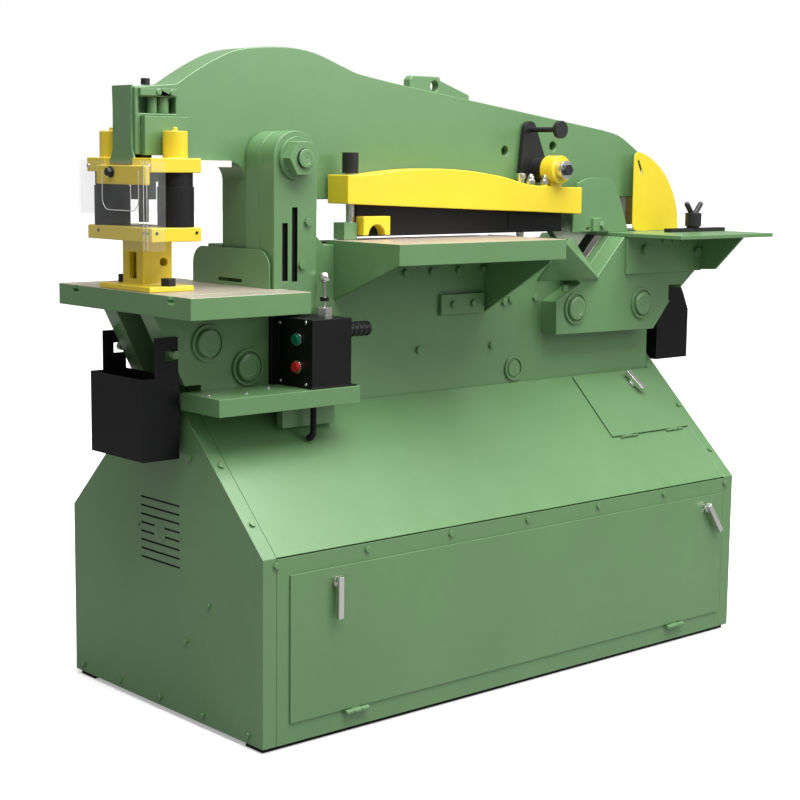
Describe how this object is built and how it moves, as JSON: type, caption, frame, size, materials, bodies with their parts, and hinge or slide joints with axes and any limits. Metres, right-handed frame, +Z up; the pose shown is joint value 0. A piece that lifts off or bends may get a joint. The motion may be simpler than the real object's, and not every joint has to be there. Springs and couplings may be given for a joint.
{
  "type": "ironworker",
  "caption": "Floor-standing hydraulic ironworker: rocking beam over a side-plate frame with punch, flat-bar shear, angle shear and notcher, on a sloped cabinet with a control shelf.",
  "frame": {"origin": "middle of the base on the floor, centred on the length and depth of the base cabinet", "axes": "+Z up, +X along the machine from the punch to the notcher, operator at -Y"},
  "size_m": [1.864, 0.782, 1.49],
  "materials": {
    "green_paint": "satin enamel",
    "yellow_paint": "gloss enamel",
    "black_paint": "satin powder coat",
    "blue_paint": "satin enamel",
    "dark_steel": "oiled",
    "black_steel": "blackened",
    "plated_steel": "zinc plated",
    "ground_steel": "ground",
    "black_rubber": "matt",
    "black_plastic": "gloss",
    "green_plastic": "gloss",
    "red_plastic": "gloss",
    "clear_sheet": "clear polycarbonate",
    "bronze": "bored"
  },
  "bodies": {
    "frame": {"angle_guide": "green_paint", "bar_studs": "plated_steel", "base_frame": "black_paint", "box_fittings": "plated_steel", "cabinet_screws": "plated_steel", "chip_buckets": "black_paint", "control_box": "black_paint", "control_shelf": "green_paint", "cylinder_barrel": "dark_steel", "ear_boss": "green_paint", "end_panel_left": "green_paint", "end_panel_right": "green_paint", "end_plates": "green_paint", "frame_bolts": "green_paint", "frame_plate_front": "green_paint", "frame_plate_rear": "green_paint", "frame_spacers": "green_paint", "front_panel": "green_paint", "guide_posts": "ground_steel", "lower_blades": "ground_steel", "notch_guard": "yellow_paint", "notch_table": "green_paint", "oil_tank": "blue_paint", "pivot_nuts": "green_paint", "pivot_pin": "dark_steel", "power_pack": "blue_paint", "pressure_hoses": "black_rubber", "punch_die": "ground_steel", "punch_table": "green_paint", "rear_panel": "green_paint", "shear_table": "green_paint", "shelf_conduit": "black_rubber", "slope_cover_front": "green_paint", "slope_cover_rear": "green_paint", "stop_bar": "black_steel", "table_guard": "green_paint", "tool_base": "yellow_paint"},
    "beam": {"beam": "green_paint", "nose_end_plate": "green_paint", "nose_blocks": "green_paint", "pivot_bush": "bronze", "upper_blades": "ground_steel"},
    "ram": {"upper_tool_plate": "yellow_paint", "upper_sleeves": "black_rubber", "punch_ram": "dark_steel", "clear_guard": "clear_sheet"},
    "cylinder_rod": {"piston_rod": "ground_steel"},
    "holddown": {"holddown_bar": "yellow_paint", "blade_guard": "black_paint"},
    "crank": {"holddown_crank": "black_steel"},
    "door": {"front_door": "green_paint"},
    "door_latch_left": {"latch_left": "dark_steel"},
    "door_latch_right": {"latch_right": "dark_steel"},
    "hatch": {"hatch_lid": "green_paint"},
    "hatch_turn_handle": {"hatch_handle": "black_steel"},
    "start_button": {"green_button": "green_plastic"},
    "stop_button": {"red_button": "red_plastic"},
    "lever": {"control_lever": "black_plastic"},
    "clamp_knob": {"stop_knob": "black_steel"}
  },
  "joints": [
    {"name": "beam_rock", "type": "hinge", "parent": "frame", "child": "beam", "pos_m": [-0.522, 0, 1.243], "axis": [0, 1, 0], "range_deg": [-5, 2.6]},
    {"name": "ram_slide", "type": "slide", "parent": "frame", "child": "ram", "axis": [0, 0, 1], "range_m": [-0.0262, 0.014]},
    {"name": "cylinder_stroke", "type": "slide", "parent": "frame", "child": "cylinder_rod", "axis": [1, 0, 0], "range_m": [-0.0355, 0.068]},
    {"name": "holddown_slide", "type": "slide", "parent": "frame", "child": "holddown", "axis": [0, 0, 1], "range_m": [-0.0052, 0]},
    {"name": "crank_turn", "type": "hinge", "parent": "holddown", "child": "crank", "pos_m": [0.338, -0.1, 1.222], "axis": [0, 1, 0], "range_deg": [0, 80]},
    {"name": "door_swing", "type": "hinge", "parent": "frame", "child": "door", "pos_m": [0, -0.385, 0.049], "axis": [1, 0, 0], "range_deg": [0, 85]},
    {"name": "door_latch_left_turn", "type": "hinge", "parent": "door", "child": "door_latch_left", "pos_m": [-0.587, -0.385, 0.346], "axis": [0, 1, 0], "range_deg": [0, 90]},
    {"name": "door_latch_right_turn", "type": "hinge", "parent": "door", "child": "door_latch_right", "pos_m": [0.668, -0.385, 0.346], "axis": [0, 1, 0], "range_deg": [-55, 35]},
    {"name": "hatch_swing", "type": "hinge", "parent": "frame", "child": "hatch", "pos_m": [0.5865, -0.25747, 0.53851], "axis": [1, 0, 0], "range_deg": [0, 120]},
    {"name": "hatch_handle_turn", "type": "hinge", "parent": "hatch", "child": "hatch_turn_handle", "pos_m": [0.634, -0.13954, 0.64815], "axis": [0, -0.6944, 0.7196], "range_deg": [0, 90]},
    {"name": "start_button_press", "type": "slide", "parent": "frame", "child": "start_button", "axis": [1, 0, 0], "range_m": [0, 0.005], "stiffness_N_per_m": 600, "springref_m": -0.001},
    {"name": "stop_button_press", "type": "slide", "parent": "frame", "child": "stop_button", "axis": [1, 0, 0], "range_m": [0, 0.005], "stiffness_N_per_m": 600, "springref_m": -0.001},
    {"name": "lever_tilt", "type": "hinge", "parent": "frame", "child": "lever", "pos_m": [-0.454, -0.17, 0.905], "axis": [0, 1, 0], "range_deg": [-14, 14], "stiffness_Nm_per_rad": 1.5},
    {"name": "clamp_knob_turn", "type": "hinge", "parent": "frame", "child": "clamp_knob", "pos_m": [0.834, -0.17, 1.07], "axis": [0, 0, 1], "continuous": true}
  ],
  "couplings": [
    {"joint": "ram_slide", "follows": "beam_rock", "m_per_rad": 0.296},
    {"joint": "cylinder_stroke", "follows": "beam_rock", "m_per_rad": -0.773},
    {"joint": "holddown_slide", "follows": "crank_turn", "m_per_rad": -0.003581}
  ]
}
